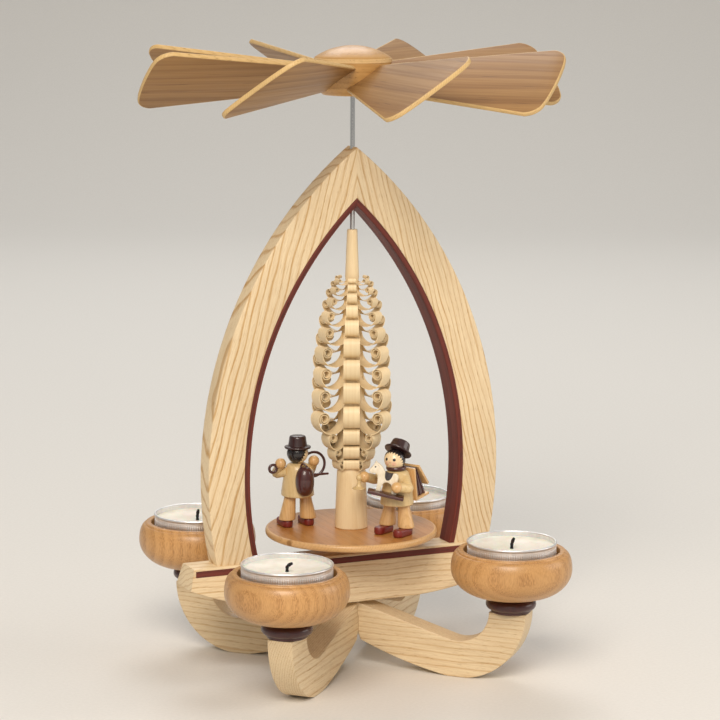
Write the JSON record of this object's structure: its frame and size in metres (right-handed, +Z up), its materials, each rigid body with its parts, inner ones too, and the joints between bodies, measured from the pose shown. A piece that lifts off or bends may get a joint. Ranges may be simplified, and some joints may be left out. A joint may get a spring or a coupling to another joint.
{
  "type": "christmas pyramid",
  "caption": "Wooden table pyramid: candle heat turns a bladed rotor that carries a shaved tree and figures inside a pointed arch.",
  "frame": {"origin": "on the table under the spindle, at the bottom centre of the whole part", "axes": "+X along the arch to its right half, +Y to the back, +Z up the spindle"},
  "size_m": [0.184, 0.184, 0.269],
  "materials": {
    "ash": "satin",
    "padouk": "satin",
    "beech": "satin",
    "limewood": "matte",
    "blade_wood": "satin",
    "table_wood": "satin",
    "dowel_wood": "matte",
    "steel": "satin",
    "bush_brass": "satin",
    "pivot_glass": "gloss",
    "shell_metal": "satin",
    "wax": "satin",
    "wick": "matte",
    "coat_wood": "satin",
    "leg_wood": "gloss",
    "face_wood": "satin",
    "dark_wood": "gloss",
    "toy_white": "satin"
  },
  "bodies": {
    "stand": {"cross_board_a": "ash", "cross_board_b": "ash", "base_bar": "ash", "bar_strips": "padouk", "base_screw": "steel", "arch_left": "ash", "arch_right": "ash", "liner_left": "padouk", "liner_right": "padouk", "arch_dowels": "dowel_wood", "guide_bush": "bush_brass", "pivot_cup": "pivot_glass", "cup_collars": "dark_wood", "cup_dowels": "dowel_wood", "cup_1": "beech", "cup_2": "beech", "cup_3": "beech", "cup_4": "beech"},
    "rotor": {"pivot_needle": "steel", "spindle": "steel", "hub": "blade_wood", "blade_1": "blade_wood", "blade_2": "blade_wood", "blade_3": "blade_wood", "blade_4": "blade_wood", "blade_5": "blade_wood", "blade_6": "blade_wood", "blade_7": "blade_wood", "blade_8": "blade_wood", "turntable": "table_wood", "tree": "limewood", "figure_shoes": "dark_wood", "figure_legs": "leg_wood", "figure_hands": "leg_wood", "figure_heads": "face_wood", "seller_coat": "coat_wood", "seller_sleeves": "coat_wood", "seller_scarf": "dark_wood", "seller_hat": "dark_wood", "seller_tray": "dark_wood", "seller_toys": "toy_white", "seller_rack": "coat_wood", "seller_goods": "dark_wood", "pedlar_coat": "coat_wood", "pedlar_sleeves": "coat_wood", "pedlar_hat": "dark_wood", "pedlar_pack": "dark_wood", "pedlar_hoops": "dark_wood"},
    "tealight_1": {"tealight_shell_1": "shell_metal", "tealight_wax_1": "wax", "tealight_wick_1": "wick"},
    "tealight_2": {"tealight_shell_2": "shell_metal", "tealight_wax_2": "wax", "tealight_wick_2": "wick"},
    "tealight_3": {"tealight_shell_3": "shell_metal", "tealight_wax_3": "wax", "tealight_wick_3": "wick"},
    "tealight_4": {"tealight_shell_4": "shell_metal", "tealight_wax_4": "wax", "tealight_wick_4": "wick"}
  },
  "joints": [
    {"name": "rotor_spin", "type": "hinge", "parent": "stand", "child": "rotor", "pos_m": [0, 0, 0.0493], "axis": [0, 0, 1], "continuous": true},
    {"name": "tealight_1_lift", "type": "slide", "parent": "stand", "child": "tealight_1", "axis": [0, 0, 1], "range_m": [0, 0.03]},
    {"name": "tealight_2_lift", "type": "slide", "parent": "stand", "child": "tealight_2", "axis": [0, 0, 1], "range_m": [0, 0.03]},
    {"name": "tealight_3_lift", "type": "slide", "parent": "stand", "child": "tealight_3", "axis": [0, 0, 1], "range_m": [0, 0.03]},
    {"name": "tealight_4_lift", "type": "slide", "parent": "stand", "child": "tealight_4", "axis": [0, 0, 1], "range_m": [0, 0.03]}
  ]
}
